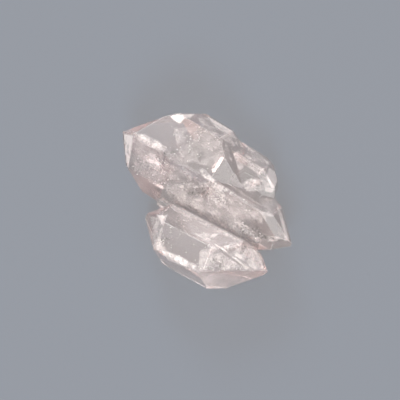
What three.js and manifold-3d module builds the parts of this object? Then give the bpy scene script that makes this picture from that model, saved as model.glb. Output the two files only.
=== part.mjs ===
// A cluster of double terminated quartz crystals, grown together in nearly parallel positions.
//
// Each crystal is a six-sided prism, closed at both ends by six sloping faces, three of which
// usually take most of the room. The crystals share one lattice, so their long axes lie
// within a few degrees of +X, and the cluster rests on the flat undersides near Z = 0.
// Millimetres, +Z up. The origin is under the middle of the cluster, on the resting plane.

import * as THREE from "three";
import { ConvexGeometry } from "three/addons/geometries/ConvexGeometry.js";
import { mergeVertices } from "three/addons/utils/BufferGeometryUtils.js";
import Module from "manifold-3d";

const wasm = await Module();
wasm.setup();

// Quartz: the angle between an end face's normal and the crystal's long axis.
const END_FACE_TILT = THREE.MathUtils.degToRad(51.8);
const SIDES = 6;

// Every crystal, by its central distances in millimetres.
//   at     a point on the long axis
//   turn   heading, pitch and roll in degrees, away from lying along +X
//   prism  distance of each side face from the axis, from the top face round towards +Y
//   east   where each end face at the +X end meets the axis, in the same order
//   west   the same for the -X end
//   chips  odd faces that cut a corner: heading and elevation of the normal in degrees, distance
const CRYSTALS = {
  // The long one, from the far left tip to the far right tip, with a roof ridge on top.
  long: {
    at: [0, 0, 7.7],
    turn: [0, 0, 0],
    prism: [5.05, 2.65, 6, 7.7, 7.8, 2.65],
    east: [18.6, 17.1, 17.3, 22, 20.2, 19.2],
    west: [20, 15.2, 20, 15.2, 18, 15.2],
    chips: [],
  },
  // A growth step on its near flank, which ends in a level edge near the middle.
  step: {
    at: [0, 0.9, 7.5],
    turn: [0, 0, 0],
    prism: [5.5, 2.0, 6, 7, 3.1, 3.8],
    east: [8, 5, 8, 12, 0.1, 5],
    west: [12.4, 10.6, 12, 12, 12, 10.8],
    chips: [],
  },
  // The broad one behind it, which makes the rounded top edge.
  broad: {
    at: [-2, 3.6, 7.6],
    turn: [0, 0, 0],
    prism: [5.3, 5.2, 5.4, 7.6, 5.5, 5.9],
    east: [11.2, 8.7, 11, 12, 12, 12],
    west: [17.5, 12.8, 13.4, 13, 13, 17],
    chips: [[152.5, 33, 8.9], [136, 4, 6.55]],
  },
  // The glassy one at the right, beyond the broad one, with a rounded end.
  right: {
    at: [4, 4.1, 5],
    turn: [1, 4, 0],
    prism: [4.6, 4.4, 4.6, 5, 4.4, 4.4],
    east: [9.4, 9.4, 9.4, 14, 14, 14],
    west: [8, 8, 8, 8, 8, 8],
    chips: [[26, 8, 6.8], [12, -6, 7.1], [69, 4, 5.8]],
  },
  // The front one, along the near side, which climbs towards its right end.
  front: {
    at: [4.5, -9, 6],
    turn: [2.4, -15, -37],
    prism: [3.6, 3.6, 4.2, 5.9, 4.7, 4.1],
    east: [12.8, 15.4, 16, 14.4, 10.7, 10.6],
    west: [10.4, 11, 11, 11, 10.2, 9.4],
    chips: [],
  },
};

// Small crystals in the gaps between the large ones, all of one shape.
//   at, turn   as above
//   radius     distance of the side faces from the axis
//   reach      where the end faces meet the axis
const SMALL_CRYSTALS = [
  { at: [11.8, -2.9, 6.8], turn: [4, -6, 20], radius: 1.0, reach: 2.7 },
  { at: [9.4, -3.6, 6.5], turn: [-3, -6, 8], radius: 0.7, reach: 2.2 },
  { at: [-3.0, -6.0, 3.6], turn: [-3, -6, 30], radius: 0.9, reach: 2.4 },
  { at: [6.9, 4.3, 8.8], turn: [4, 2, 12], radius: 0.8, reach: 2.3 },
  { at: [8.6, 2.2, 8.0], turn: [-4, 5, 25], radius: 1.0, reach: 2.6 },
];

// The direction of one side face's outward normal, before the crystal is turned.
function sideNormal(side) {
  const angle = (side * 2 * Math.PI) / SIDES;
  return new THREE.Vector3(0, Math.sin(angle), Math.cos(angle));
}

// The planes that bound one crystal, as outward normals and distances from its own centre.
function facePlanes({ prism, east, west, chips }) {
  const planes = [];
  for (let side = 0; side < SIDES; side++) {
    const out = sideNormal(side);
    planes.push({ normal: out, distance: prism[side] });
    for (const [end, reach] of [[1, east[side]], [-1, west[side]]]) {
      const normal = out
        .clone()
        .multiplyScalar(Math.sin(END_FACE_TILT))
        .add(new THREE.Vector3(end * Math.cos(END_FACE_TILT), 0, 0));
      planes.push({ normal, distance: reach * Math.cos(END_FACE_TILT) });
    }
  }
  for (const [heading, elevation, distance] of chips) {
    const up = THREE.MathUtils.degToRad(90 - elevation);
    const round = THREE.MathUtils.degToRad(90 + heading);
    const normal = new THREE.Vector3().setFromSphericalCoords(1, up, round);
    planes.push({ normal: new THREE.Vector3(normal.x, -normal.z, normal.y), distance });
  }
  return planes;
}

// The corners of the convex body inside all the planes: each is where three planes meet.
function cornersInside(planes) {
  const slack = 1e-6;
  const corners = [];
  for (let a = 0; a < planes.length; a++)
    for (let b = a + 1; b < planes.length; b++)
      for (let c = b + 1; c < planes.length; c++) {
        const [p, q, r] = [planes[a], planes[b], planes[c]];
        const qr = q.normal.clone().cross(r.normal);
        const volume = p.normal.dot(qr);
        if (Math.abs(volume) < slack) continue;
        const corner = qr
          .multiplyScalar(p.distance)
          .add(r.normal.clone().cross(p.normal).multiplyScalar(q.distance))
          .add(p.normal.clone().cross(q.normal).multiplyScalar(r.distance))
          .divideScalar(volume);
        if (planes.every((plane) => plane.normal.dot(corner) < plane.distance + slack)) {
          corners.push(corner);
        }
      }
  return corners;
}

// A closed three.js geometry as a solid that can be joined and cut.
function solidFrom(geometry) {
  const bare = geometry.clone();
  bare.deleteAttribute("normal");
  bare.deleteAttribute("uv");
  const merged = mergeVertices(bare, 1e-4);
  return new wasm.Manifold(
    new wasm.Mesh({
      numProp: 3,
      vertProperties: new Float32Array(merged.attributes.position.array),
      triVerts: new Uint32Array(merged.index.array),
    }),
  );
}

// One crystal, turned and put in its place.
function crystalSolid(crystal) {
  const geometry = new ConvexGeometry(cornersInside(facePlanes(crystal)));
  const [heading, pitch, roll] = crystal.turn.map(THREE.MathUtils.degToRad);
  geometry.applyMatrix4(
    new THREE.Matrix4().makeRotationFromEuler(new THREE.Euler(roll, pitch, heading, "ZYX")),
  );
  geometry.translate(...crystal.at);
  return solidFrom(geometry);
}

// A small crystal spelled out face by face, like the large ones.
function smallCrystal({ at, turn, radius, reach }) {
  const all = (value) => new Array(SIDES).fill(value);
  return { at, turn, prism: all(radius), east: all(reach), west: all(reach), chips: [] };
}

// All crystals as one solid, cut off level at the resting plane.
function clusterSolid() {
  const crystals = [...Object.values(CRYSTALS), ...SMALL_CRYSTALS.map(smallCrystal)];
  const joined = crystals.map(crystalSolid).reduce((all, one) => all.add(one));
  const groundSize = 100;
  const ground = new THREE.BoxGeometry(groundSize, groundSize, groundSize);
  ground.translate(0, 0, -groundSize / 2);
  return joined.subtract(solidFrom(ground));
}

// The solid as a three.js geometry, moved so that the origin is under its middle.
function geometryFrom(solid) {
  const mesh = solid.getMesh();
  const geometry = new THREE.BufferGeometry();
  geometry.setAttribute("position", new THREE.BufferAttribute(mesh.vertProperties, 3));
  geometry.setIndex(new THREE.BufferAttribute(mesh.triVerts, 1));
  geometry.computeBoundingBox();
  const middle = geometry.boundingBox.getCenter(new THREE.Vector3());
  geometry.translate(-middle.x, -middle.y, 0);
  geometry.computeVertexNormals();
  return geometry;
}

const clearQuartz = new THREE.MeshStandardMaterial({
  color: 0xe4dedd,
  roughness: 0.05,
  metalness: 0,
  transparent: true,
  opacity: 0.4,
  flatShading: true,
});

const cluster = new THREE.Group();
const quartz = new THREE.Mesh(geometryFrom(clusterSolid()), clearQuartz);
quartz.name = "quartz_cluster";
cluster.add(quartz);

export default cluster;
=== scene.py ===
"""Visual model of a double terminated quartz cluster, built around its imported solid.

Lengths are written in millimetres, and MM turns them into Blender's metres. The solid's own
frame is used: +X along the crystals, +Z up, and the resting plane at Z = 0. Points of the
photograph are in pixels, x to the right and y down.
"""

import math
import random

import bmesh
import bpy
from mathutils import Matrix, Vector, noise
from mathutils.bvhtree import BVHTree


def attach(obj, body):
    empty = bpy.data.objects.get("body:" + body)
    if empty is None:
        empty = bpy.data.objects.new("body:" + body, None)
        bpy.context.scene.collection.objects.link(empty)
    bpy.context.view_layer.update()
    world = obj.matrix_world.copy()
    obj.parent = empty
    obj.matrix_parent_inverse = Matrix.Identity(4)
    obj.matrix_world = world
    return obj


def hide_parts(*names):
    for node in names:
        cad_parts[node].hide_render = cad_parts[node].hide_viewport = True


bl_info = {
    "name": "Double terminated quartz",
    "version": (1, 0, 0),
    "blender": (4, 5, 0),
    "location": "3D View > Sidebar > Quartz",
    "description": "Clear quartz crystals grown together, with veils and grains inside",
    "category": "Object",
}

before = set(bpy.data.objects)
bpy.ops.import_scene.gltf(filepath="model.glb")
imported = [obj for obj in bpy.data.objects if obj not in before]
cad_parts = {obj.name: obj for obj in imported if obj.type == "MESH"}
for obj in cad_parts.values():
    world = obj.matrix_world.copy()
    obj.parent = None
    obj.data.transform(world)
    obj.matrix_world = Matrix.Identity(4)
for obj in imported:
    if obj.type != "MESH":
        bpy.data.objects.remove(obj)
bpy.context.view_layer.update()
NODE = "quartz_cluster"
BODY = "root"
MM = 0.001

# Quartz: how much it bends light, and the angle between an end face's normal and the long axis.
QUARTZ_IOR = 1.544
END_FACE_TILT = math.radians(51.8)

# The long axes of the side-by-side crystals and of the front one, which is turned and climbs.
LONG_AXIS = Vector((1, 0, 0))
FRONT_TURN = Matrix.Rotation(math.radians(2.4), 3, "Z")
FRONT_CLIMB = Matrix.Rotation(math.radians(-15), 3, "Y")
FRONT_AXIS = FRONT_TURN @ (FRONT_CLIMB @ LONG_AXIS)

# The camera: which way its right and up point, what it looks at, from how far, how wide the
# view is there, its sensor's width, the nearest and farthest it sees, and the image's pixels.
VIEW_RIGHT = Vector((0.829, 0.548, -0.104)).normalized()
VIEW_UP = Vector((-0.518, 0.825, 0.223))
VIEW_UP = (VIEW_UP - VIEW_RIGHT * VIEW_UP.dot(VIEW_RIGHT)).normalized()
VIEW_BACK = VIEW_RIGHT.cross(VIEW_UP)
VIEW_TARGET = Vector((0.205, -0.49, 7.0))
VIEW_DISTANCE = 330.0
VIEW_WIDTH = 64.5
SENSOR_WIDTH = 36.0
NEAREST_SEEN = 10
FARTHEST_SEEN = 20000
IMAGE_SIZE = 400

# Corners of the solid closer together than this are one, and so are faces that meet at less
# than this angle.
SAME_CORNER = 1e-4
SAME_FACE_ANGLE = math.radians(0.4)

# Edges shorter than this are closed up. An outward edge is worn if its faces meet at more than
# this angle, and its wear takes no more than this share of the shortest edge beside it.
SHORTEST_EDGE = 0.01
WORN_ANGLE = math.radians(12)
WORN_SHARE = 0.3

# Roughness of a clear face, of a worn edge and of a frosted patch.
CLEAR_ROUGHNESS = 0.02
WORN_ROUGHNESS = 0.16
FROSTED_ROUGHNESS = 0.45

# Each face gets a number by chance, from this seed. Faces in one plane share a number, and
# planes are told apart by this many digits.
FACE_SEED = 7
PLANE_DIGITS = 2
# A face belongs to the first axis that fits it, unless the other one fits better by this much.
CLEARLY_BETTER = 1e-3

# What lies inside keeps this far from the faces.
CLEAR_OF_SURFACE = 0.05

# The sheets inside: pixels between their points for veils and for flecks, and a veil's thickness.
VEIL_STEP = 1.0
FLECK_STEP = 2.0
VEIL_THICKNESS = 0.015
# Steps over which a sheet fades in from its rim, and steps that one side of a cell may span.
FADE_STEPS = 1.3
LONGEST_CELL = 4
# The share of its depth that a sheet ripples by, the ripples per pixel, and how far their
# pattern shifts for each millimetre of depth.
RIPPLE_SHARE = 0.35
RIPPLES_PER_PIXEL = 0.09
RIPPLE_SHIFT = 3

# A fleck's width as a share of its length.
FLECK_WIDTH = 0.7

# Colour of the floor's glow.
GLOW_COLOUR = (1.0, 0.94, 0.925, 1)

# The soft lights: direction from the object, side length, power in watts and colour. They all
# stand at one distance.
LIGHT_DISTANCE = 500
LIGHTS = {
    "key_light": ((0.35, -0.60, 0.72), 180, 3.2, (1.0, 0.985, 0.96)),
    "side_light": ((0.92, 0.15, 0.36), 160, 0.3, (1.0, 1.0, 1.0)),
    "left_light": ((-0.55, 0.62, 0.56), 180, 2.6, (1.0, 0.99, 0.98)),
}

# The world: its strength, its bright side, and where it is dim and where it is bright.
WORLD_STRENGTH = 1.5
BRIGHT_SIDE = (VIEW_BACK * 0.8 - VIEW_RIGHT * 0.45 + VIEW_UP * 0.5).normalized()
WORLD_STOPS = ((0.45, (0.05, 0.055, 0.06, 1)), (0.95, (1.0, 1.0, 1.0, 1)))

# How often a ray may be bent, mirrored, scattered or let through before it ends.
BOUNCES = {
    "max_bounces": 20,
    "transmission_bounces": 20,
    "glossy_bounces": 8,
    "diffuse_bounces": 5,
    "transparent_max_bounces": 24,
}

# Milky sheets, painted highlights and painted light in a crease, by the place where they are
# seen:
# outline in pixels of the photograph, depth under the face in millimetres, and strength.
VEILS_AND_PAINTED_LIGHT = {
    # Painted highlight: a white sheet where the far top edge shines.
    "far top edge, left half": (
        [(168, 115), (174, 113), (196, 113), (191, 118), (184, 119), (180, 124), (174, 121)],
        0.2, 2.1),
    # Painted highlight along the far top edge.
    "far top edge, right half": (
        [(206, 115), (219, 120), (233, 130), (239, 140), (230, 136), (216, 127)], 0.3, 1.8),
    # Painted highlight on the left end face.
    "left end face": (
        [(122, 133), (134, 135), (128, 171), (125, 162)], 0.15, 2.0),
    "roof ridge near the left tip": (
        [(130, 133), (142, 133), (158, 140), (170, 151), (154, 150), (140, 144)], 0.25, 1.3),
    "end of the growth step": (
        [(198, 167), (204, 168), (217, 181), (212, 184), (203, 178)], 0.2, 1.6),
    "under the growth step": (
        [(171, 184), (214, 182), (212, 188), (180, 190)], 0.4, 1.3),
    "middle of the flank": (
        [(191, 199), (203, 198), (206, 204), (200, 211), (189, 210)], 0.2, 1.3),
    "flank, right of the step": (
        [(204, 184), (226, 188), (224, 205), (208, 202)], 0.9, 1.3),
    # Painted highlight on the foot of the right crystal.
    "foot of the right crystal": (
        [(241, 184), (248, 179), (262, 178), (272, 184), (270, 190), (258, 192), (246, 191)],
        0.25, 1.5),
    # Painted highlight on the rounded end of the right crystal.
    "rounded end of the right crystal": (
        [(268, 166), (277, 172), (279, 189), (271, 189), (266, 178)], 0.12, 2.5),
    # Painted highlight under the rounded end.
    "corner under the rounded end": (
        [(265, 186), (276, 188), (273, 194), (264, 192)], 0.2, 2.3),
    "outer edge of the right crystal": (
        [(243, 141), (258, 152), (270, 162), (268, 166), (256, 158), (247, 150)], 0.3, 0.8),
    "between the broad and the right crystal": (
        [(226, 142), (241, 141), (246, 164), (240, 170), (228, 158)], 1.0, 0.6),
    "front crystal, corner of its left end": (
        [(155, 214), (167, 215), (163, 227)], 0.2, 2.0),
    # Painted highlight along the lower edge of the front crystal.
    "front crystal, left part of its lower edge": (
        [(158, 248), (180, 256), (198, 266), (194, 271), (168, 261)], 0.15, 1.6),
    "front crystal, lower face": (
        [(199, 250), (214, 246), (248, 271), (197, 271)], 0.4, 0.9),
    "front crystal, right end": (
        [(220, 246), (238, 240), (258, 245), (265, 268), (255, 271)], 0.3, 1.5),
    # Painted highlight: a white line where an edge of the front crystal shines.
    "front crystal, painted highlight across it": (
        [(212, 243), (217, 243), (255, 271), (251, 273)], 0.12, 1.5),
    "front crystal, middle of its upper face": (
        [(191, 232), (221, 232), (209, 243)], 0.25, 1.4),
    "under the right tip": (
        [(253, 233), (268, 236), (284, 237), (288, 242), (262, 243)], 0.25, 1.4),
    "edge up from the right tip": (
        [(276, 205), (282, 211), (290, 241), (285, 238)], 0.2, 1.8),
    "front crystal, low at its left end": (
        [(150, 226), (158, 234), (166, 252), (155, 250)], 0.4, 1.1),
    "front crystal, high at its left end": (
        [(149, 216), (160, 216), (162, 230), (160, 242), (153, 240)], 0.3, 1.0),
    # Painted highlight along the edge of the front crystal's left end.
    "front crystal, edge of its left end": (
        [(166, 213), (168, 213), (160, 234), (154, 248), (152, 247), (158, 233)], 0.1, 1.7),
    "cloud in the right crystal": (
        [(243, 150), (262, 158), (271, 172), (260, 176), (247, 166)], 0.6, 0.6),
    "cloud along the far top edge": (
        [(196, 115), (212, 117), (232, 134), (238, 148), (224, 140), (200, 122)], 0.7, 0.9),
    "cloud in the broad crystal": (
        [(172, 126), (205, 124), (226, 146), (216, 166), (180, 160)], 1.6, 0.4),
    "cloud in the left half of the flank": (
        [(130, 140), (172, 156), (200, 176), (168, 196), (130, 172)], 1.3, 0.5),
    "cloud along the middle of the flank": (
        [(165, 188), (214, 192), (262, 212), (262, 226), (225, 220), (168, 204)], 1.0, 0.75),
    # Painted light: a white sheet that lifts the shade in the crease between the crystals.
    "painted light along the crease": (
        [(164, 199), (171, 209), (206, 226), (245, 245), (258, 251), (263, 238), (236, 218),
         (205, 204)], 0.4, 1.2),
    "deepest cloud, under the flank": (
        [(215, 198), (240, 203), (262, 218), (240, 228), (205, 214)], 2.4, 0.6),
    "cloud under the right crystal": (
        [(255, 190), (276, 196), (282, 214), (268, 214)], 0.8, 0.6),
}

# Painted glints, small white flecks: the same three values, on sheets that aren't shown
# themselves.
PAINTED_GLINTS = {
    "flank, right of the step": (
        [(205, 184), (228, 188), (226, 206), (206, 203)], 0.35, 1.0),
    "flank, left part": (
        [(157, 158), (169, 159), (168, 169), (156, 167)], 0.25, 0.7),
    "front crystal, left end": (
        [(156, 230), (164, 232), (163, 246), (156, 244)], 0.3, 1.0),
    "broad crystal, left half": (
        [(187, 122), (202, 124), (202, 156), (186, 150)], 0.4, 0.5),
    "broad crystal, middle": (
        [(203, 142), (214, 144), (212, 154), (202, 153)], 0.3, 0.6),
    "front crystal, lower edge": (
        [(196, 257), (234, 261), (248, 270), (199, 270)], 0.2, 0.6),
    "jumble of broken faces": (
        [(240, 222), (264, 226), (262, 238), (242, 236)], 0.3, 0.6),
    "flank, left of the step": (
        [(160, 178), (168, 178), (168, 186), (160, 186)], 0.3, 0.6),
    "far top edge, right half": (
        [(216, 120), (234, 130), (241, 146), (230, 140)], 0.3, 0.9),
    "outer edge of the right crystal": (
        [(246, 150), (262, 158), (272, 172), (262, 172)], 0.3, 0.25),
    "foot of the right crystal": (
        [(242, 179), (262, 179), (272, 184), (270, 190), (246, 190)], 0.15, 0.9),
    "few, over the whole flank": (
        [(125, 150), (180, 165), (250, 210), (200, 212), (135, 178)], 0.6, 0.16),
    "few, over the whole top": (
        [(140, 138), (175, 120), (215, 124), (238, 150), (230, 176), (190, 160)], 0.8, 0.12),
    "few, over the whole front crystal": (
        [(160, 216), (206, 222), (256, 252), (206, 284), (160, 254)], 0.6, 0.12),
}

# Dark grains: the same.
GRAINS = {
    "flank, left part": (
        [(161, 150), (177, 151), (176, 158), (163, 157)], 0.12, 2.0),
    "under the growth step": (
        [(184, 189), (207, 188), (209, 194), (188, 197)], 0.2, 1.2),
    "left tip": (
        [(129, 158), (148, 162), (146, 174), (131, 170)], 0.2, 0.5),
    "jumble of broken faces": (
        [(244, 222), (263, 228), (262, 236), (243, 235)], 0.2, 1.2),
    "front crystal, right end": (
        [(237, 251), (250, 243), (252, 246), (240, 254)], 0.15, 1.6),
    "front crystal, lower edge": (
        [(206, 261), (222, 259), (224, 268), (206, 268)], 0.15, 0.8),
    "middle of the flank": (
        [(180, 203), (192, 203), (190, 209), (182, 208)], 0.2, 1.0),
    "under the right tip": (
        [(258, 234), (284, 238), (280, 241), (260, 239)], 0.2, 1.2),
    "along the crease": (
        [(200, 217), (215, 224), (238, 235), (236, 238), (213, 228), (199, 220)], 0.12, 0.7),
    "front crystal, lowest part": (
        [(203, 275), (245, 273), (262, 272), (235, 283), (210, 288)], 0.2, 0.12),
    "front crystal, left end": (
        [(157, 223), (170, 228), (168, 240), (158, 240)], 0.2, 0.4),
}


def link(obj):
    """Puts an object in the scene."""
    bpy.context.scene.collection.objects.link(obj)
    return obj


def finish_piece(obj):
    """The piece belongs to the one solid body."""
    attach(obj, BODY)


def view_ray(x, y):
    """Start and direction, in metres, of the line of sight through a point of the image."""
    start = (VIEW_TARGET + VIEW_BACK * VIEW_DISTANCE) * MM
    right = (x / IMAGE_SIZE - 0.5) * VIEW_WIDTH
    up = (0.5 - y / IMAGE_SIZE) * VIEW_WIDTH
    aim = (VIEW_TARGET + VIEW_RIGHT * right + VIEW_UP * up) * MM
    return start, (aim - start).normalized()


def body_tree():
    """The crystal's own surface, for finding what lies under a point of the image."""
    mesh = bmesh.new()
    mesh.from_mesh(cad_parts[NODE].data)
    tree = BVHTree.FromBMesh(mesh)
    mesh.free()
    return tree


def is_buried(tree, point):
    """Whether a point is inside the crystal, clear of its surface."""
    nearest, normal, _, _ = tree.find_nearest(point)
    return (point - nearest).dot(normal) < -CLEAR_OF_SURFACE * MM


def under_surface(tree, x, y, depth):
    """The buried point that is depth below the face seen at a point of the image, or None."""
    start, aim = view_ray(x, y)
    hit, normal, _, _ = tree.ray_cast(start, aim)
    if hit is None:
        return None
    if normal.dot(aim) > 0:
        normal = -normal
    place = hit - normal * depth * MM
    return place if is_buried(tree, place) else None


def inside_distance(x, y, outline):
    """How far a point of the image is inside an outline, in pixels; negative outside."""
    inside = False
    nearest = math.inf
    for (from_x, from_y), (to_x, to_y) in zip(outline, outline[1:] + outline[:1]):
        if (from_y > y) != (to_y > y):
            crossing = (to_x - from_x) * (y - from_y) / (to_y - from_y) + from_x
            inside = inside != (x < crossing)
        edge = Vector((to_x - from_x, to_y - from_y))
        offset = Vector((x - from_x, y - from_y))
        along = max(0.0, min(1.0, offset.dot(edge) / edge.length_squared))
        nearest = min(nearest, (offset - edge * along).length)
    return nearest if inside else -nearest


def sheet_points(tree, outline, depth, step):
    """The points of one sheet, on a grid: each one's place and its distance from the rim."""
    left, right = min(x for x, _ in outline), max(x for x, _ in outline)
    top, bottom = min(y for _, y in outline), max(y for _, y in outline)
    # One column and one row lie past the far sides.
    columns = int((right - left) / step) + 2
    rows = int((bottom - top) / step) + 2
    points = {}
    for column in range(columns):
        for row in range(rows):
            x, y = left + column * step, top + row * step
            inside = inside_distance(x, y, outline)
            if inside < -step:
                continue
            ripple = noise.noise(Vector(
                (x * RIPPLES_PER_PIXEL, y * RIPPLES_PER_PIXEL, depth * RIPPLE_SHIFT)))
            place = under_surface(tree, x, y, depth * (1 + RIPPLE_SHARE * ripple))
            if place is not None:
                points[column, row] = place, inside
    return points


def drop_corner_contacts(cells):
    """Takes out cells until no two of the rest meet at a corner alone."""
    found = True
    while found:
        found = [
            (column, row) for column, row in cells for beside in (column - 1, column + 1)
            if (beside, row + 1) in cells
            and (beside, row) not in cells and (column, row + 1) not in cells]
        for cell in found:
            cells.pop(cell, None)


def patch_mesh(name, patches, step):
    """Thin sheets that follow the faces above them, one for each patch, as one object.

    The point attribute "fade" is 0 at a sheet's rim and 1 well inside it, and "strength" is the
    patch's own strength.
    """
    tree = body_tree()
    built = bmesh.new()
    fade_layer = built.verts.layers.float.new("fade")
    strength_layer = built.verts.layers.float.new("strength")
    longest_side = LONGEST_CELL * step * VIEW_WIDTH / IMAGE_SIZE * MM
    for outline, depth, strength in patches.values():
        grid = {}
        for key, (place, inside) in sheet_points(tree, outline, depth, step).items():
            vert = built.verts.new(place)
            vert[fade_layer] = max(0.0, min(1.0, inside / (FADE_STEPS * step)))
            vert[strength_layer] = strength
            grid[key] = vert
        cells = {}
        for column, row in grid:
            keys = ((column, row), (column, row + 1), (column + 1, row + 1), (column + 1, row))
            ring = [grid.get(key) for key in keys]
            if None in ring:
                continue
            sides = [(a.co - b.co).length for a, b in zip(ring, ring[1:] + ring[:1])]
            if max(sides) < longest_side:
                cells[column, row] = ring
        drop_corner_contacts(cells)
        for ring in cells.values():
            built.faces.new(ring)
    loose = [vert for vert in built.verts if not vert.link_faces]
    bmesh.ops.delete(built, geom=loose, context="VERTS")
    bmesh.ops.recalc_face_normals(built, faces=built.faces)
    mesh = bpy.data.meshes.new(name)
    built.to_mesh(mesh)
    built.free()
    return link(bpy.data.objects.new(name, mesh))


def made_plain(obj, name):
    """The object with its modifiers turned into a plain mesh, as a new object."""
    bpy.context.view_layer.update()
    graph = bpy.context.evaluated_depsgraph_get()
    mesh = bpy.data.meshes.new_from_object(
        obj.evaluated_get(graph), preserve_all_data_layers=True, depsgraph=graph)
    mesh.name = name
    old = obj.data
    bpy.data.objects.remove(obj)
    if not old.users:
        bpy.data.meshes.remove(old)
    return link(bpy.data.objects.new(name, mesh))


def face_outwards(mesh):
    """Turns each closed shell's faces outwards, and raises an error if a shell is open."""
    shells = bmesh.new()
    shells.from_mesh(mesh)
    bmesh.ops.recalc_face_normals(shells, faces=shells.faces)
    torn = sum(1 for edge in shells.edges if len(edge.link_faces) != 2)
    shells.to_mesh(mesh)
    shells.free()
    if torn:
        raise RuntimeError(f"{mesh.name} has {torn} edges without two faces")


def new_material(name):
    """A material with its node tree's nodes and links, and its Principled shader."""
    material = bpy.data.materials.new(name)
    material.use_nodes = True
    nodes = material.node_tree.nodes
    return material, nodes, material.node_tree.links, nodes["Principled BSDF"]


def own_place(nodes):
    """The place on the object, in metres."""
    return nodes.new("ShaderNodeTexCoord").outputs["Object"]


def attribute(nodes, name):
    """The value of one of the mesh's own attributes."""
    node = nodes.new("ShaderNodeAttribute")
    node.attribute_name = name
    return node.outputs["Fac"]


def noise_value(nodes, links, vector, scale, detail=2.0, roughness=0.5):
    """Noise around 0.5, with scale patches for each unit of the vector."""
    node = nodes.new("ShaderNodeTexNoise")
    node.inputs["Scale"].default_value = scale
    node.inputs["Detail"].default_value = detail
    node.inputs["Roughness"].default_value = roughness
    links.new(vector, node.inputs["Vector"])
    return node.outputs["Fac"]


def map_range(nodes, links, value, low, high, out_low=0.0, out_high=1.0):
    """The value spread out, so that low to high becomes out_low to out_high, and kept there."""
    node = nodes.new("ShaderNodeMapRange")
    node.inputs["From Min"].default_value = low
    node.inputs["From Max"].default_value = high
    node.inputs["To Min"].default_value = out_low
    node.inputs["To Max"].default_value = out_high
    links.new(value, node.inputs["Value"])
    return node.outputs["Result"]


def combine(nodes, links, operation, first, second):
    """Two values, each a number or a socket, put together by a Math node."""
    node = nodes.new("ShaderNodeMath")
    node.operation = operation
    for socket, value in zip(node.inputs, (first, second)):
        if isinstance(value, (int, float)):
            socket.default_value = value
        else:
            links.new(value, socket)
    return node.outputs[0]


def mix_colours(nodes, links, factor, first, second):
    """The first colour where the factor is 0, and the second where it is 1."""
    node = nodes.new("ShaderNodeMix")
    node.data_type = "RGBA"
    node.inputs["A"].default_value = (*first, 1)
    node.inputs["B"].default_value = (*second, 1)
    links.new(factor, node.inputs["Factor"])
    return node.outputs["Result"]


def growth_marks_group():
    """Growth lines across the side faces, and waves, hillocks and frosted patches on every face.

    Reads the piece's own map "along_and_across", in millimetres, and its attributes
    "side_face" and "face_random". Puts out a height in millimetres and a frost mask.
    """
    group = bpy.data.node_groups.new("growth marks", "ShaderNodeTree")
    for name in ("Line Depth", "Wave Depth", "Frost"):
        group.interface.new_socket(name, in_out="INPUT", socket_type="NodeSocketFloat")
    for name in ("Height", "Frost Mask"):
        group.interface.new_socket(name, in_out="OUTPUT", socket_type="NodeSocketFloat")
    nodes, links = group.nodes, group.links
    given = nodes.new("NodeGroupInput").outputs
    out = nodes.new("NodeGroupOutput").inputs
    place = own_place(nodes)

    def added(first, second):
        return combine(nodes, links, "ADD", first, second)

    def times(first, second):
        return combine(nodes, links, "MULTIPLY", first, second)

    # Growth lines: noise that is drawn out across the crystal.
    flat = nodes.new("ShaderNodeUVMap")
    flat.uv_map = "along_and_across"
    stretched = nodes.new("ShaderNodeMapping")
    stretched.inputs["Scale"].default_value = (1.0, 0.07, 1.0)
    links.new(flat.outputs["UV"], stretched.inputs["Vector"])
    drawn_out = stretched.outputs["Vector"]
    fine = noise_value(nodes, links, drawn_out, scale=5.5, detail=3.0, roughness=0.6)
    coarse = noise_value(nodes, links, drawn_out, scale=1.3, detail=1.0)
    steps = map_range(nodes, links, fine, low=0.42, high=0.58)
    lines = times(times(added(steps, coarse), attribute(nodes, "side_face")), given["Line Depth"])

    # Waves and hillocks on every face.
    hill = nodes.new("ShaderNodeTexVoronoi")
    hill.feature = "SMOOTH_F1"
    hill.inputs["Scale"].default_value = 0.55 / MM
    links.new(place, hill.inputs["Vector"])
    hill_share = 0.35
    waves = noise_value(nodes, links, place, scale=0.32 / MM)
    swell = times(added(waves, times(hill.outputs["Distance"], hill_share)), given["Wave Depth"])
    links.new(added(lines, swell), out["Height"])

    # Frosted patches, with a fine grain, and more of them on some faces than on others.
    grain_share = 0.2
    chance_share = 0.12
    cloud = noise_value(nodes, links, place, scale=0.42 / MM, detail=4.0, roughness=0.62)
    grain = noise_value(nodes, links, place, scale=2.6 / MM)
    chance = attribute(nodes, "face_random")
    mixed = added(added(cloud, times(grain, grain_share)), times(chance, chance_share))
    frost = map_range(nodes, links, mixed, low=0.62, high=0.9)
    links.new(times(frost, given["Frost"]), out["Frost Mask"])
    return group


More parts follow.
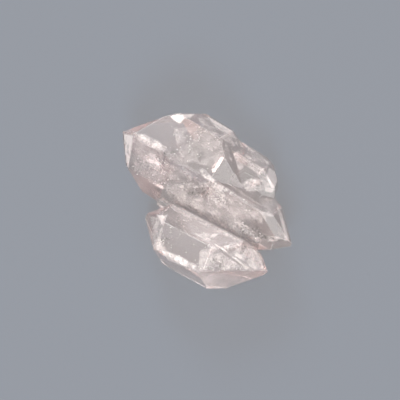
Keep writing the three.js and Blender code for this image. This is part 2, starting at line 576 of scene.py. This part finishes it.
def quartz_material(name, settings, marks, clearness, roughness, frost, line_depth):
    """Clear quartz, with growth marks, and a pink tint that grows with its thickness, painted
    warm light seen through it.
    """
    material, nodes, links, shader = new_material(name)
    group = nodes.new("ShaderNodeGroup")
    group.node_tree = marks
    group.inputs["Line Depth"].default_value = line_depth / MM
    group.inputs["Wave Depth"].default_value = settings.wave_depth / MM
    group.inputs["Frost"].default_value = frost
    mask = group.outputs["Frost Mask"]
    shader.inputs["Transmission Weight"].default_value = clearness
    shader.inputs["IOR"].default_value = QUARTZ_IOR
    shader.inputs["Metallic"].default_value = 0.0
    rough = map_range(
        nodes, links, mask, low=0, high=1, out_low=roughness, out_high=FROSTED_ROUGHNESS)
    links.new(rough, shader.inputs["Roughness"])
    white = (1, 1, 1)
    tint = mix_colours(nodes, links, mask, settings.clear_colour, white)
    links.new(tint, shader.inputs["Base Color"])
    bump = nodes.new("ShaderNodeBump")
    bump.inputs["Strength"].default_value = 1.0
    bump.inputs["Distance"].default_value = MM
    links.new(group.outputs["Height"], bump.inputs["Height"])
    links.new(bump.outputs["Normal"], shader.inputs["Normal"])
    # Painted warm light: a pink tint, stronger where the crystal is thicker, in place of warm
    # light shining through it.
    absorb = nodes.new("ShaderNodeVolumeAbsorption")
    absorb.inputs["Color"].default_value = (*settings.painted_warm_light, 1)
    absorb.inputs["Density"].default_value = settings.painted_warm_light_density
    links.new(absorb.outputs["Volume"], nodes["Material Output"].inputs["Volume"])
    return material


def veil_and_painted_light_material(settings):
    """Milky healed cracks, and sheets of painted highlight and painted light: white wisps with
    clear gaps, which fill up where they are strong.
    """
    material, nodes, links, shader = new_material("veil_and_painted_light")
    place = own_place(nodes)
    strength = attribute(nodes, "strength")
    wisps = noise_value(nodes, links, place, scale=0.6 / MM, detail=7.0, roughness=0.62)
    wisps = map_range(nodes, links, wisps, low=0.38, high=0.66)
    dots = noise_value(nodes, links, place, scale=5.0 / MM, detail=1.0)
    dots = map_range(nodes, links, dots, low=0.35, high=0.75, out_low=0.5)
    mask = combine(nodes, links, "MULTIPLY", wisps, dots)
    mask = combine(nodes, links, "MULTIPLY", mask, strength)
    # Strong sheets fill up solid white, as the painted highlights do.
    filled = map_range(nodes, links, strength, low=1.5, high=2.5)
    mask = combine(nodes, links, "ADD", mask, filled)
    mask = map_range(nodes, links, mask, low=0.0, high=1.0)
    mask = combine(nodes, links, "MULTIPLY", mask, attribute(nodes, "fade"))
    links.new(mask, shader.inputs["Alpha"])
    shader.inputs["Base Color"].default_value = (*settings.veil_and_painted_light_colour, 1)
    shader.inputs["Roughness"].default_value = 0.5
    shader.inputs["Transmission Weight"].default_value = 0.0
    return material


def fleck_material(name, colour, roughness):
    """One colour that is a little darker in places."""
    material, nodes, links, shader = new_material(name)
    darkening = 0.85
    darker = [part * darkening for part in colour]
    change = noise_value(nodes, links, own_place(nodes), scale=1.5 / MM, detail=1.0)
    change = map_range(nodes, links, change, low=0.35, high=0.6)
    links.new(mix_colours(nodes, links, change, darker, colour), shader.inputs["Base Color"])
    shader.inputs["Roughness"].default_value = roughness
    shader.inputs["Metallic"].default_value = 0.0
    return material


def fleck_tree():
    """Scatters small flat flecks over the sheets of a mesh, and drops the sheets."""
    tree = bpy.data.node_groups.new("flecks on sheets", "GeometryNodeTree")
    for name, kind, default in (
            ("Sheets", "Geometry", None), ("Per Square Millimetre", "Float", 3.0),
            ("Smallest", "Float", 0.05), ("Largest", "Float", 0.2), ("Flatness", "Float", 0.3),
            ("Scatter", "Float", 0.3), ("Seed", "Int", 1), ("Material", "Material", None)):
        socket = tree.interface.new_socket(
            name, in_out="INPUT", socket_type="NodeSocket" + kind)
        if default is not None:
            socket.default_value = default
    tree.interface.new_socket("Flecks", in_out="OUTPUT", socket_type="NodeSocketGeometry")
    nodes, links = tree.nodes, tree.links
    given = nodes.new("NodeGroupInput").outputs
    out = nodes.new("NodeGroupOutput").inputs

    # Points on the sheets, in clumps, and denser where a sheet is stronger.
    density = combine(nodes, links, "DIVIDE", given["Per Square Millimetre"], MM * MM)
    strength = nodes.new("GeometryNodeInputNamedAttribute")
    strength.data_type = "FLOAT"
    strength.inputs["Name"].default_value = "strength"
    share = combine(nodes, links, "MULTIPLY", density, strength.outputs["Attribute"])
    place = nodes.new("GeometryNodeInputPosition").outputs["Position"]
    clumps = noise_value(nodes, links, place, scale=0.9 / MM)
    clumps = map_range(nodes, links, clumps, low=0.42, high=0.62)
    points = nodes.new("GeometryNodeDistributePointsOnFaces")
    links.new(given["Sheets"], points.inputs["Mesh"])
    links.new(combine(nodes, links, "MULTIPLY", share, clumps), points.inputs["Density"])
    links.new(given["Seed"], points.inputs["Seed"])

    # Each point is moved a little off its sheet.
    jitter = nodes.new("FunctionNodeRandomValue")
    jitter.data_type = "FLOAT_VECTOR"
    jitter.inputs["Min"].default_value = (-MM,) * 3
    jitter.inputs["Max"].default_value = (MM,) * 3
    links.new(given["Seed"], jitter.inputs["Seed"])
    spread = nodes.new("ShaderNodeVectorMath")
    spread.operation = "SCALE"
    links.new(jitter.outputs["Value"], spread.inputs[0])
    links.new(given["Scatter"], spread.inputs["Scale"])
    moved = nodes.new("GeometryNodeSetPosition")
    links.new(points.outputs["Points"], moved.inputs["Geometry"])
    links.new(spread.outputs["Vector"], moved.inputs["Offset"])

    # One fleck, a millimetre in radius before it is flattened.
    shape = nodes.new("GeometryNodeMeshIcoSphere")
    shape.inputs["Radius"].default_value = MM
    shape.inputs["Subdivisions"].default_value = 1
    flat = nodes.new("ShaderNodeCombineXYZ")
    flat.inputs["X"].default_value = 1.0
    flat.inputs["Y"].default_value = FLECK_WIDTH
    links.new(given["Flatness"], flat.inputs["Z"])
    squash = nodes.new("GeometryNodeTransform")
    links.new(shape.outputs["Mesh"], squash.inputs["Geometry"])
    links.new(flat.outputs["Vector"], squash.inputs["Scale"])

    # A copy at each point, turned and sized by chance.
    turn = nodes.new("FunctionNodeRandomValue")
    turn.data_type = "FLOAT_VECTOR"
    turn.inputs["Max"].default_value = (math.tau,) * 3
    links.new(given["Seed"], turn.inputs["Seed"])
    size = nodes.new("FunctionNodeRandomValue")
    size.data_type = "FLOAT"
    links.new(given["Smallest"], size.inputs[2])
    links.new(given["Largest"], size.inputs[3])
    links.new(given["Seed"], size.inputs["Seed"])
    placed = nodes.new("GeometryNodeInstanceOnPoints")
    links.new(moved.outputs["Geometry"], placed.inputs["Points"])
    links.new(squash.outputs["Geometry"], placed.inputs["Instance"])
    links.new(turn.outputs["Value"], placed.inputs["Rotation"])
    links.new(size.outputs[1], placed.inputs["Scale"])
    real = nodes.new("GeometryNodeRealizeInstances")
    links.new(placed.outputs["Instances"], real.inputs["Geometry"])
    finish = nodes.new("GeometryNodeSetMaterial")
    links.new(real.outputs["Geometry"], finish.inputs["Geometry"])
    links.new(given["Material"], finish.inputs["Material"])
    links.new(finish.outputs["Geometry"], out["Flecks"])
    return tree


def drop_unburied(mesh):
    """Takes away each fleck that reaches the surface of the crystal."""
    tree = body_tree()
    flecks = bmesh.new()
    flecks.from_mesh(mesh)
    seen = set()
    doomed = []
    for start in flecks.verts:
        if start in seen:
            continue
        fleck = [start]
        seen.add(start)
        for vert in fleck:
            for edge in vert.link_edges:
                other = edge.other_vert(vert)
                if other not in seen:
                    seen.add(other)
                    fleck.append(other)
        if not all(is_buried(tree, vert.co) for vert in fleck):
            doomed.extend(fleck)
    bmesh.ops.delete(flecks, geom=doomed, context="VERTS")
    flecks.to_mesh(mesh)
    flecks.free()


def scatter_flecks(name, patches, material, **values):
    """A piece made of small flecks that lie along sheets under the given patches."""
    tree = bpy.data.node_groups.get("flecks on sheets") or fleck_tree()
    sockets = {item.name: item.identifier for item in tree.interface.items_tree}
    helper = patch_mesh(name + "_sheets", patches, FLECK_STEP)
    modifier = helper.modifiers.new("Flecks", "NODES")
    modifier.node_group = tree
    for key, value in values.items():
        modifier[sockets[key.replace("_", " ").title()]] = value
    modifier[sockets["Material"]] = material
    piece = made_plain(helper, name)
    drop_unburied(piece.data)
    finish_piece(piece)


class QuartzCrystalSettings(bpy.types.PropertyGroup):
    """Sizes and colours of the crystals"""

    edge_width: bpy.props.FloatProperty(
        name="Edge width", description="Width of the worn edge between two faces",
        default=0.035 * MM, unit="LENGTH")
    line_depth: bpy.props.FloatProperty(
        name="Line depth", description="Depth of the growth lines across the side faces",
        default=0.006 * MM, unit="LENGTH")
    wave_depth: bpy.props.FloatProperty(
        name="Wave depth", description="Height of the slow waves on every face",
        default=0.008 * MM, unit="LENGTH")
    frost: bpy.props.FloatProperty(
        name="Frost", description="How strong the frosted patches are",
        default=0.3, min=0, max=1, subtype="FACTOR")
    clearness: bpy.props.FloatProperty(
        name="Clearness", description="Share of the light that goes through the faces",
        default=0.95, min=0, max=1, subtype="FACTOR")
    edge_clearness: bpy.props.FloatProperty(
        name="Edge clearness", description="The same share at the worn edges",
        default=0.75, min=0, max=1, subtype="FACTOR")
    clear_colour: bpy.props.FloatVectorProperty(
        name="Face colour", description="Colour of the faces",
        default=(0.99, 0.94, 0.93), size=3, min=0, max=1, subtype="COLOR")
    # Painted warm light: a pink tint that grows with the thickness.
    painted_warm_light: bpy.props.FloatVectorProperty(
        name="Depth colour", description="Tint that grows with the thickness",
        default=(0.98, 0.917, 0.906), size=3, min=0, max=1, subtype="COLOR")
    painted_warm_light_density: bpy.props.FloatProperty(
        name="Depth density", description="How fast the tint grows, per metre", default=100.0)


class QuartzInsideSettings(bpy.types.PropertyGroup):
    """Colours of what lies inside the crystals"""

    # White of the milky veils and of the sheets that paint highlights and light in the crease.
    veil_and_painted_light_colour: bpy.props.FloatVectorProperty(
        name="Veil colour", description="Colour of the healed cracks",
        default=(0.97, 0.93, 0.92), size=3, min=0, max=1, subtype="COLOR")
    # White of the flecks that paint glints.
    painted_glint_colour: bpy.props.FloatVectorProperty(
        name="Sparkle colour", description="Colour of the bright flecks",
        default=(0.98, 0.98, 0.97), size=3, min=0, max=1, subtype="COLOR")
    grain_colour: bpy.props.FloatVectorProperty(
        name="Grain colour", description="Colour of the dark grains",
        default=(0.08, 0.076, 0.073), size=3, min=0, max=1, subtype="COLOR")


class QuartzStageSettings(bpy.types.PropertyGroup):
    """The floor and how strong the lights are"""

    floor_colour: bpy.props.FloatVectorProperty(
        name="Floor colour", description="Colour of the plain floor",
        default=(0.012, 0.026, 0.044), size=3, min=0, max=1, subtype="COLOR")
    floor_glow: bpy.props.FloatProperty(
        name="Floor glow", description="Soft light from the floor, as on a light table",
        default=0.26, min=0)
    floor_size: bpy.props.FloatProperty(
        name="Floor size", description="Side of the square floor",
        default=4000 * MM, unit="LENGTH")
    light_strength: bpy.props.FloatProperty(
        name="Light strength", description="Factor on every light", default=1.0, min=0)


def clean_crystal_mesh(worn_width):
    """The solid's faces, whole instead of in triangles, with a weight on each edge to be worn.

    An edge's weight is the share of the worn width that the edges beside it leave room for.
    """
    built = bmesh.new()
    built.from_mesh(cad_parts[NODE].data)
    bmesh.ops.remove_doubles(built, verts=built.verts, dist=SAME_CORNER * MM)
    bmesh.ops.dissolve_limit(
        built, angle_limit=SAME_FACE_ANGLE, verts=built.verts, edges=built.edges)
    bmesh.ops.dissolve_degenerate(built, dist=SHORTEST_EDGE * MM, edges=built.edges)
    weight = built.edges.layers.float.new("bevel_weight_edge")
    for edge in built.edges:
        if len(edge.link_faces) == 2 and edge.is_convex and edge.calc_face_angle() > WORN_ANGLE:
            beside = [other for vert in edge.verts for other in vert.link_edges]
            room = min(other.calc_length() for other in beside)
            edge[weight] = min(1.0, WORN_SHARE * room / worn_width)
    mesh = bpy.data.meshes.new("quartz_crystals")
    built.to_mesh(mesh)
    built.free()
    return mesh


def lay_out_faces(mesh):
    """Gives each face its map along and across its crystal, and its two attributes."""
    layer = mesh.uv_layers.new(name="along_and_across")
    side = mesh.attributes.new("side_face", "FLOAT", "FACE")
    chance = mesh.attributes.new("face_random", "FLOAT", "FACE")
    tilt = math.cos(END_FACE_TILT)
    random_numbers = random.Random(FACE_SEED)
    draws = {}
    for face in mesh.polygons:
        best = None
        for axis in (LONG_AXIS, FRONT_AXIS):
            lean = abs(face.normal.dot(axis))
            for fit, is_side in ((lean, 1.0), (abs(lean - tilt), 0.0)):
                if best is None or fit < best[0] - CLEARLY_BETTER:
                    best = (fit, axis, is_side)
        _, axis, is_side = best
        side.data[face.index].value = is_side
        plane = (*face.normal, face.center.dot(face.normal) / MM)
        key = tuple(round(part, PLANE_DIGITS) for part in plane)
        chance.data[face.index].value = draws.setdefault(key, random_numbers.random())
        across = face.normal.cross(axis).normalized()
        for corner in face.loop_indices:
            place = mesh.vertices[mesh.loops[corner].vertex_index].co / MM
            layer.data[corner].uv = (place.dot(axis), place.dot(across))


class BuildQuartzCrystals(bpy.types.Operator):
    """The grown-together crystals, with worn edges and growth lines"""

    bl_idname = "quartz.build_crystals"
    bl_label = "Build crystals"

    def execute(self, context):
        settings = context.scene.quartz_crystals
        mesh = clean_crystal_mesh(settings.edge_width)
        marks = growth_marks_group()
        mesh.materials.append(quartz_material(
            "clear_quartz", settings, marks, clearness=settings.clearness,
            roughness=CLEAR_ROUGHNESS, frost=settings.frost, line_depth=settings.line_depth))
        mesh.materials.append(quartz_material(
            "worn_edge", settings, marks, clearness=settings.edge_clearness,
            roughness=WORN_ROUGHNESS, frost=1.0, line_depth=0.0))
        obj = link(bpy.data.objects.new("quartz_crystals", mesh))
        bevel = obj.modifiers.new("Worn edges", "BEVEL")
        bevel.width = settings.edge_width
        bevel.segments = 2
        bevel.limit_method = "WEIGHT"
        bevel.use_clamp_overlap = False
        bevel.material = 1
        obj = made_plain(obj, "quartz_crystals")
        face_outwards(obj.data)
        lay_out_faces(obj.data)
        finish_piece(obj)
        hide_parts(NODE)
        return {"FINISHED"}


class BuildVeilsAndPaintedLight(bpy.types.Operator):
    """Milky healed cracks and thin clouds under the faces, and white sheets of painted highlight
    and painted light
    """

    bl_idname = "quartz.build_veils"
    bl_label = "Build veils"

    def execute(self, context):
        obj = patch_mesh("veils_and_painted_light", VEILS_AND_PAINTED_LIGHT, VEIL_STEP)
        obj.data.materials.append(veil_and_painted_light_material(context.scene.quartz_inside))
        solid = obj.modifiers.new("Thickness", "SOLIDIFY")
        solid.thickness = VEIL_THICKNESS * MM
        solid.offset = -1
        obj = made_plain(obj, "veils_and_painted_light")
        face_outwards(obj.data)
        finish_piece(obj)
        return {"FINISHED"}


class BuildPaintedGlints(bpy.types.Operator):
    """Small white flecks, painted glints where small cracks catch the light"""

    bl_idname = "quartz.build_sparkles"
    bl_label = "Build sparkles"

    def execute(self, context):
        colour = context.scene.quartz_inside.painted_glint_colour
        scatter_flecks(
            "veil_painted_glints", PAINTED_GLINTS, fleck_material("painted_glint", colour, roughness=0.3),
            per_square_millimetre=12.0, smallest=0.04, largest=0.2, flatness=0.35,
            scatter=0.12, seed=3)
        return {"FINISHED"}


class BuildDarkGrains(bpy.types.Operator):
    """Small dark grains that grew into the crystals"""

    bl_idname = "quartz.build_grains"
    bl_label = "Build dark grains"

    def execute(self, context):
        colour = context.scene.quartz_inside.grain_colour
        scatter_flecks(
            "dark_grains", GRAINS, fleck_material("dark_grain", colour, roughness=0.6),
            per_square_millimetre=22.0, smallest=0.05, largest=0.2, flatness=0.4,
            scatter=0.1, seed=11)
        return {"FINISHED"}


def add_floor(settings):
    """The plain square floor, which gives off a soft, even light."""
    half = settings.floor_size / 2
    mesh = bpy.data.meshes.new("floor")
    corners = [(-half, -half, 0), (half, -half, 0), (half, half, 0), (-half, half, 0)]
    mesh.from_pydata(corners, [], [(0, 1, 2, 3)])
    floor = link(bpy.data.objects.new("floor", mesh))
    material, _, _, shader = new_material("plain_floor")
    shader.inputs["Base Color"].default_value = (*settings.floor_colour, 1)
    shader.inputs["Roughness"].default_value = 0.85
    shader.inputs["Specular IOR Level"].default_value = 0.2
    shader.inputs["Emission Color"].default_value = GLOW_COLOUR
    shader.inputs["Emission Strength"].default_value = settings.floor_glow
    mesh.materials.append(material)


def add_soft_light(name, direction, side, power, colour):
    """A large square light that shines on the object from one direction."""
    data = bpy.data.lights.new(name, "AREA")
    data.shape = "SQUARE"
    data.size = side * MM
    data.energy = power
    data.color = colour
    obj = link(bpy.data.objects.new(name, data))
    out = Vector(direction)
    obj.location = (VIEW_TARGET + out * LIGHT_DISTANCE) * MM
    obj.rotation_euler = (-out).normalized().to_track_quat("-Z", "Y").to_euler()


def add_world(scene, strength):
    """A studio that is bright on one side and dim on the other."""
    world = bpy.data.worlds.new("soft studio")
    world.use_nodes = True
    nodes, links = world.node_tree.nodes, world.node_tree.links
    toward = nodes.new("ShaderNodeVectorMath")
    toward.operation = "DOT_PRODUCT"
    toward.inputs[1].default_value = BRIGHT_SIDE
    links.new(nodes.new("ShaderNodeTexCoord").outputs["Generated"], toward.inputs[0])
    ramp = nodes.new("ShaderNodeValToRGB")
    for stop, (position, colour) in zip(ramp.color_ramp.elements, WORLD_STOPS):
        stop.position = position
        stop.color = colour
    brightness = map_range(nodes, links, toward.outputs["Value"], low=-1, high=1)
    links.new(brightness, ramp.inputs["Fac"])
    links.new(ramp.outputs["Color"], nodes["Background"].inputs["Color"])
    nodes["Background"].inputs["Strength"].default_value = strength
    scene.world = world


def add_camera(scene):
    """The camera, at the photograph's viewing angle."""
    lens = bpy.data.cameras.new("camera")
    lens.sensor_width = SENSOR_WIDTH
    lens.lens = SENSOR_WIDTH * VIEW_DISTANCE / VIEW_WIDTH
    lens.clip_start = NEAREST_SEEN * MM
    lens.clip_end = FARTHEST_SEEN * MM
    camera = link(bpy.data.objects.new("camera", lens))
    turn = Matrix((VIEW_RIGHT, VIEW_UP, VIEW_BACK)).transposed().to_4x4()
    place = Matrix.Translation((VIEW_TARGET + VIEW_BACK * VIEW_DISTANCE) * MM)
    camera.matrix_world = place @ turn
    scene.camera = camera


class BuildQuartzStage(bpy.types.Operator):
    """Plain floor, soft light and the camera"""

    bl_idname = "quartz.build_stage"
    bl_label = "Build stage"

    def execute(self, context):
        scene = context.scene
        settings = scene.quartz_stage
        add_floor(settings)
        for name, (direction, side, power, colour) in LIGHTS.items():
            add_soft_light(name, direction, side, power * settings.light_strength, colour)
        add_world(scene, WORLD_STRENGTH * settings.light_strength)
        add_camera(scene)
        for name, count in BOUNCES.items():
            setattr(scene.cycles, name, count)
        scene.view_settings.view_transform = "Standard"
        return {"FINISHED"}


class QuartzPanel(bpy.types.Panel):
    """Every setting, and a button for each operator"""

    bl_idname = "VIEW3D_PT_quartz"
    bl_label = "Quartz"
    bl_space_type = "VIEW_3D"
    bl_region_type = "UI"
    bl_category = "Quartz"

    def draw(self, context):
        for name in SETTINGS:
            settings = getattr(context.scene, name)
            box = self.layout.box()
            for key in settings.__annotations__:
                box.prop(settings, key)
        for operator in OPERATORS:
            self.layout.operator(operator.bl_idname)


SETTINGS = {
    "quartz_crystals": QuartzCrystalSettings,
    "quartz_inside": QuartzInsideSettings,
    "quartz_stage": QuartzStageSettings,
}
OPERATORS = (
    BuildQuartzStage,
    BuildQuartzCrystals,
    BuildVeilsAndPaintedLight,
    BuildPaintedGlints,
    BuildDarkGrains,
)


def register():
    for name, group in SETTINGS.items():
        bpy.utils.register_class(group)
        setattr(bpy.types.Scene, name, bpy.props.PointerProperty(type=group))
    for operator in OPERATORS:
        bpy.utils.register_class(operator)
    bpy.utils.register_class(QuartzPanel)


def unregister():
    bpy.utils.unregister_class(QuartzPanel)
    for operator in reversed(OPERATORS):
        bpy.utils.unregister_class(operator)
    for name, group in reversed(SETTINGS.items()):
        delattr(bpy.types.Scene, name)
        bpy.utils.unregister_class(group)


def main():
    """Builds the stage and every piece."""
    register()
    bpy.ops.quartz.build_stage()
    bpy.ops.quartz.build_crystals()
    bpy.ops.quartz.build_veils()
    bpy.ops.quartz.build_sparkles()
    bpy.ops.quartz.build_grains()
    bpy.context.view_layer.update()


if __name__ == "__main__":
    main()
